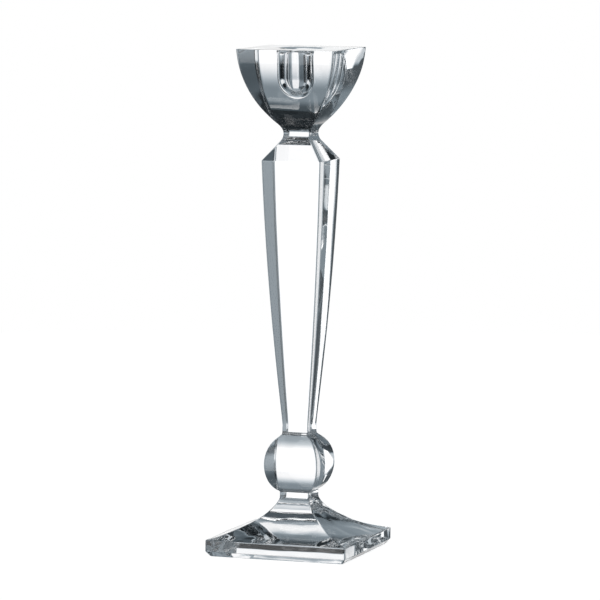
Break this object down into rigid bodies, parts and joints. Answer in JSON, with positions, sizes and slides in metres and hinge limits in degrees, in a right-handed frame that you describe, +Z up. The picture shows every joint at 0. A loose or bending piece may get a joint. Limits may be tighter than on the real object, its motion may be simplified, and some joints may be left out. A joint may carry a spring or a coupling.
{
  "type": "glass candlestick",
  "caption": "Tall square clear-glass candlestick: stepped square foot, square knop, tapering column and flared square cup with a round blind candle socket.",
  "frame": {"origin": "centre of the foot's underside, on the surface that the candlestick stands on", "axes": "+Z up along the candlestick's axis; the square section's flat sides face plus and minus X and Y"},
  "size_m": [0.0898, 0.0898, 0.305],
  "materials": {
    "foot_glass": "clear fire-polished crystal glass, smooth and glossy",
    "knop_glass": "clear fire-polished crystal glass, smooth and glossy",
    "column_glass": "clear fire-polished crystal glass, smooth and glossy",
    "cup_glass": "clear fire-polished crystal glass, smooth and glossy"
  },
  "bodies": {
    "root": {"foot": "foot_glass", "knop": "knop_glass", "column": "column_glass", "cup": "cup_glass"}
  },
  "joints": []
}
